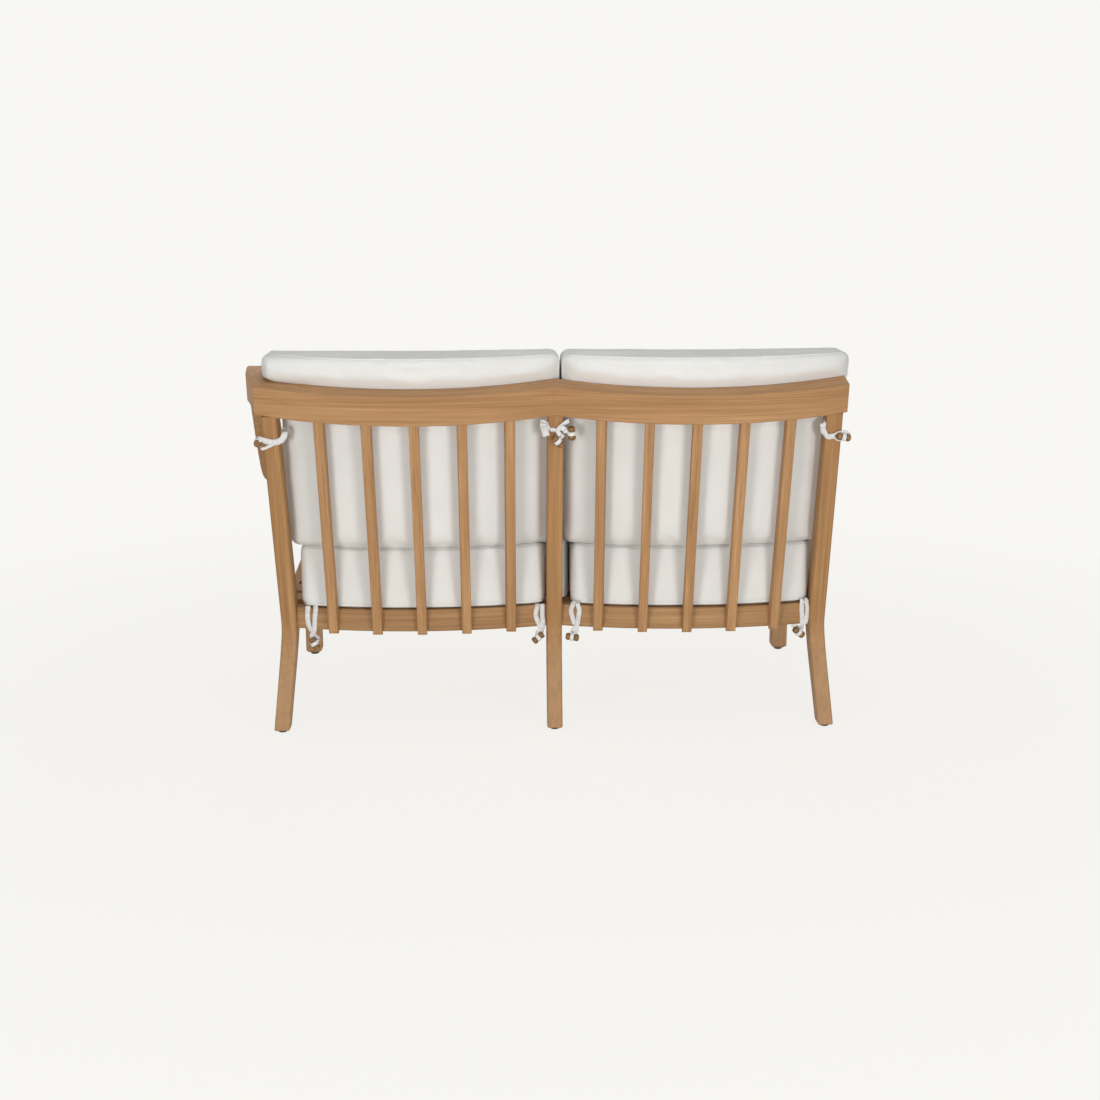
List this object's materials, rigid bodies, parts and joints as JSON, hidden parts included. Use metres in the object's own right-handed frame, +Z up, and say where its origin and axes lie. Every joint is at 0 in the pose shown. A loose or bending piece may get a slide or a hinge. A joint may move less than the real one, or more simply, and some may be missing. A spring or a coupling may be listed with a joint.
{
  "type": "patio loveseat",
  "caption": "Patio loveseat with a swooping arm at its end, a scooped slatted back on sabre legs, and loose seat and back cushions tied on with toggles.",
  "frame": {"origin": "middle of the underside of the whole piece's box, on the ground", "axes": "+Z up, +Y to the slatted back, +X to the end that has the arm"},
  "size_m": [1.4664, 0.8886, 0.948],
  "materials": {
    "wood": "satin oiled",
    "toggle": "satin",
    "glide": "matte",
    "cushion": "woven",
    "strap": "woven"
  },
  "bodies": {
    "frame": {"centre_post": "wood", "arm_side_post": "wood", "open_side_post": "wood", "arm_side_top_rail": "wood", "open_side_top_rail": "wood", "arm": "wood", "open_side_front_leg": "wood", "arm_side_front_leg": "wood", "arm_side_rear_seat_rail": "wood", "open_side_rear_seat_rail": "wood", "front_seat_rail": "wood", "arm_side_seat_rail": "wood", "open_side_seat_rail": "wood", "centre_seat_rail": "wood", "deck_board_1": "wood", "deck_board_2": "wood", "deck_board_3": "wood", "deck_board_4": "wood", "deck_board_5": "wood", "deck_board_6": "wood", "arm_side_back_slat_1": "wood", "arm_side_back_slat_2": "wood", "arm_side_back_slat_3": "wood", "arm_side_back_slat_4": "wood", "arm_side_back_slat_5": "wood", "open_side_back_slat_1": "wood", "open_side_back_slat_2": "wood", "open_side_back_slat_3": "wood", "open_side_back_slat_4": "wood", "open_side_back_slat_5": "wood", "centre_post_glide": "glide", "arm_side_post_glide": "glide", "open_side_post_glide": "glide", "arm_side_front_glide": "glide", "open_side_front_glide": "glide", "arm_side_seat_cushion": "cushion", "open_side_seat_cushion": "cushion", "arm_side_back_cushion": "cushion", "open_side_back_cushion": "cushion", "centre_tie_1_strap": "strap", "centre_tie_2_strap": "strap", "open_end_tie_strap": "strap", "arm_end_tie_strap": "strap", "arm_end_seat_tie_strap": "strap", "centre_seat_tie_1_strap": "strap", "centre_seat_tie_2_strap": "strap", "open_end_seat_tie_strap": "strap"},
    "centre_tie_1_toggle_body": {"centre_tie_1_toggle": "toggle"},
    "centre_tie_2_toggle_body": {"centre_tie_2_toggle": "toggle"},
    "open_end_tie_toggle_body": {"open_end_tie_toggle": "toggle"},
    "arm_end_tie_toggle_body": {"arm_end_tie_toggle": "toggle"},
    "arm_end_seat_tie_toggle_body": {"arm_end_seat_tie_toggle": "toggle"},
    "centre_seat_tie_1_toggle_body": {"centre_seat_tie_1_toggle": "toggle"},
    "centre_seat_tie_2_toggle_body": {"centre_seat_tie_2_toggle": "toggle"},
    "open_end_seat_tie_toggle_body": {"open_end_seat_tie_toggle": "toggle"}
  },
  "joints": [
    {"name": "centre_tie_1_toggle_turn", "type": "hinge", "parent": "frame", "child": "centre_tie_1_toggle_body", "pos_m": [-0.0735, 0.36356, 0.75709], "axis": [0, 0.9816, -0.1908], "range_deg": [-60, 60]},
    {"name": "centre_tie_2_toggle_turn", "type": "hinge", "parent": "frame", "child": "centre_tie_2_toggle_body", "pos_m": [-0.0415, 0.35975, 0.73746], "axis": [0, 0.9816, -0.1908], "range_deg": [-60, 60]},
    {"name": "open_end_tie_toggle_turn", "type": "hinge", "parent": "frame", "child": "open_end_tie_toggle_body", "pos_m": [-0.71629, 0.36089, 0.74335], "axis": [0, 0.9816, -0.1908], "range_deg": [-60, 60]},
    {"name": "arm_end_tie_toggle_turn", "type": "hinge", "parent": "frame", "child": "arm_end_tie_toggle_body", "pos_m": [0.66384, 0.33377, 0.7364], "axis": [1, 0, 0], "range_deg": [-60, 60]},
    {"name": "arm_end_seat_tie_toggle_turn", "type": "hinge", "parent": "frame", "child": "arm_end_seat_tie_toggle_body", "pos_m": [0.55575, 0.27263, 0.224], "axis": [0.2373, 0.9714, 0], "range_deg": [-60, 60]},
    {"name": "centre_seat_tie_1_toggle_turn", "type": "hinge", "parent": "frame", "child": "centre_seat_tie_1_toggle_body", "pos_m": [0.0051, 0.26715, 0.232], "axis": [-0.254, 0.9672, 0], "range_deg": [-60, 60]},
    {"name": "centre_seat_tie_2_toggle_turn", "type": "hinge", "parent": "frame", "child": "centre_seat_tie_2_toggle_body", "pos_m": [-0.0796, 0.26804, 0.233], "axis": [0.2417, 0.9704, 0], "range_deg": [-60, 60]},
    {"name": "open_end_seat_tie_toggle_turn", "type": "hinge", "parent": "frame", "child": "open_end_seat_tie_toggle_body", "pos_m": [-0.64213, 0.26892, 0.24], "axis": [-0.254, 0.9672, 0], "range_deg": [-60, 60]}
  ]
}
